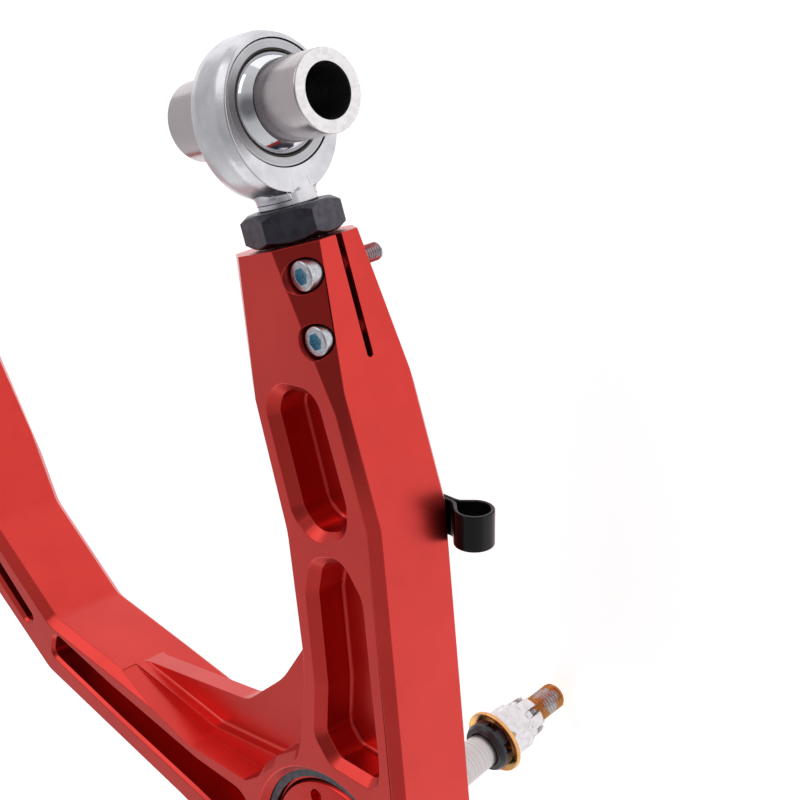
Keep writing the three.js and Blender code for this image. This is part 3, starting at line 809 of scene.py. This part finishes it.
# ---- line clip ----
def clip():
    x, y, z = CLIP_AT
    place_at = Matrix.Translation((NEAR + x, y, z)) @ Matrix.Rotation(CLIP_TURN, 4, "Z")
    middle, end = CLIP_R - CLIP_WALL / 2, CLIP_REACH + 6.0
    line = [Vector((end, 0.72)), Vector((middle + 3.4, 0.72)), Vector((middle + 1.6, 1.1))]
    opening = math.radians(40)
    for k in range(49):
        a = opening + (2 * math.pi - 2 * opening) * k / 48
        line.append(Vector((middle * math.cos(a), middle * math.sin(a))))
    line += [Vector((middle + 1.6, -1.1)), Vector((middle + 3.4, -0.72)), Vector((end, -0.72))]
    side = CLIP_WIDTH / 2
    corners = [(-side, -0.7, 0.55), (side, -0.7, 0.55), (side, 0.7, 0.55), (-side, 0.7, 0.55)]
    section = rounded(corners, step=15)
    loops = []
    for i, p in enumerate(line):
        on = (line[min(i + 1, len(line) - 1)] - line[max(i - 1, 0)]).normalized()
        loops.append([(p.x - on.y * s.y, s.x, p.y + on.x * s.y) for s in section])
    bm = bmesh.new()
    rings(bm, loops)
    band = build("loop_clip", bm, place_at)
    screw_at = (CLIP_REACH, 0, 0)
    boolean(band, [cylinder(2.7, -4, 4, Z, screw_at, 48, place_at)])
    place(smooth(band, 45), VINYL, "arm", "black_vinyl", "clip_band")

    section = [
        (-4.75, 0), (-4.75, 2.6, 0.4), (-3.6, 4.1, 1.2), (-1.75, 4.6, 0.2), (-1.75, 1.8),
        (10.3, 1.8), (10.3, 0),
    ]
    screw = lathe("clip_button_screw", section, Z, screw_at, 64, matrix=place_at)
    boolean(screw, [prism("tool", 2.6, -6, -3.15, Z, screw_at, matrix=place_at)])
    softened(screw, 0.12, 50)
    place(smooth(screw), ZINC_BOLT, "arm", "zinc_plated_steel", "clip_screw")


# ---- CAD pieces that stay ----
def kept():
    for node, material in {
        "near_liner": LINER, "far_liner": LINER, "ball_seat_upper": SEAT, "ball_seat_lower": SEAT,
    }.items():
        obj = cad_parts[node]
        obj.data.materials.clear()
        obj.data.materials.append(material)
        obj.data.shade_smooth()
        obj.data.set_sharp_from_angle(angle=math.radians(35))


# ---- studio ----
LAMPS = [  # name, place and size in metres, watts
    ("key_box", (0.3, -1.6, 1.3), 1.4, 7),
    ("fill_box", (0.9, 1.5, 0.9), 1.2, 3),
]


def studio():
    bm = bmesh.new()
    bmesh.ops.create_grid(bm, x_segments=1, y_segments=1, size=6000)
    floor = build("floor", bm, Matrix.Translation((0, 0, -103)))
    floor.data.transform(Matrix.Scale(MM, 4))
    ground = bpy.data.materials.new("pale_floor")
    ground.use_nodes = True
    shader = ground.node_tree.nodes["Principled BSDF"]
    shader.inputs["Base Color"].default_value = (0.86, 0.86, 0.86, 1)
    shader.inputs["Roughness"].default_value = 0.9
    shader.inputs["Specular IOR Level"].default_value = 0.1
    shader.inputs["Emission Color"].default_value = (1, 1, 1, 1)
    shader.inputs["Emission Strength"].default_value = 0.61
    floor.data.materials.append(ground)

    world = bpy.data.worlds.new("studio")
    bpy.context.scene.world = world
    world.use_nodes = True
    tree = world.node_tree
    at = tree.nodes.new("ShaderNodeTexCoord")
    dark_side = tree.nodes.new("ShaderNodeVectorMath")
    dark_side.operation = "DOT_PRODUCT"
    dark_side.inputs[1].default_value = Vector((-0.38, -0.1, 0.92)).normalized()
    ramp = tree.nodes.new("ShaderNodeValToRGB")
    stops = ramp.color_ramp.elements
    stops[0].position, stops[0].color = 0.3, (0.68, 0.68, 0.69, 1)
    stops[1].position, stops[1].color = 0.98, (0.15, 0.15, 0.155, 1)
    stops.new(0.86).color = (0.5, 0.5, 0.51, 1)
    tree.links.new(at.outputs["Generated"], dark_side.inputs[0])
    tree.links.new(dark_side.outputs["Value"], ramp.inputs["Fac"])
    tree.links.new(ramp.outputs["Color"], tree.nodes["Background"].inputs["Color"])

    middle = Vector((0, 0.12, 0))
    for name, place_at, size, power in LAMPS:
        data = bpy.data.lights.new(name, "AREA")
        data.shape = "SQUARE"
        data.size = size
        data.energy = power
        lamp = bpy.data.objects.new(name, data)
        lamp.location = place_at
        lamp.rotation_mode = "QUATERNION"
        lamp.rotation_quaternion = (middle - Vector(place_at)).to_track_quat("-Z", "Y")
        bpy.context.scene.collection.objects.link(lamp)
    bpy.context.scene.view_settings.view_transform = "Standard"


def camera():
    place_at = Vector((-0.672321, -0.010136, 0.456955))  # metres
    right = Vector((-0.662763, 0.251168, -0.705450))
    up = Vector((-0.054710, -0.955794, -0.288901))
    data = bpy.data.cameras.new("camera")
    data.lens = 102.35
    data.sensor_width = 36
    obj = bpy.data.objects.new("camera", data)
    bpy.context.scene.collection.objects.link(obj)
    turn = Matrix((right, up, right.cross(up))).transposed().to_4x4()
    obj.matrix_world = Matrix.Translation(place_at) @ turn
    bpy.context.scene.camera = obj


arm_body()
for side, x, outer in (("near", NEAR, -1), ("far", FAR, 1)):
    rod_end(side, x, outer)
    for number, (y, top, end) in enumerate(BOLTS, 1):
        pinch_bolt(side, number, x, outer, y, top, end)
ball_joint()
stud()
clip()
kept()
studio()
camera()
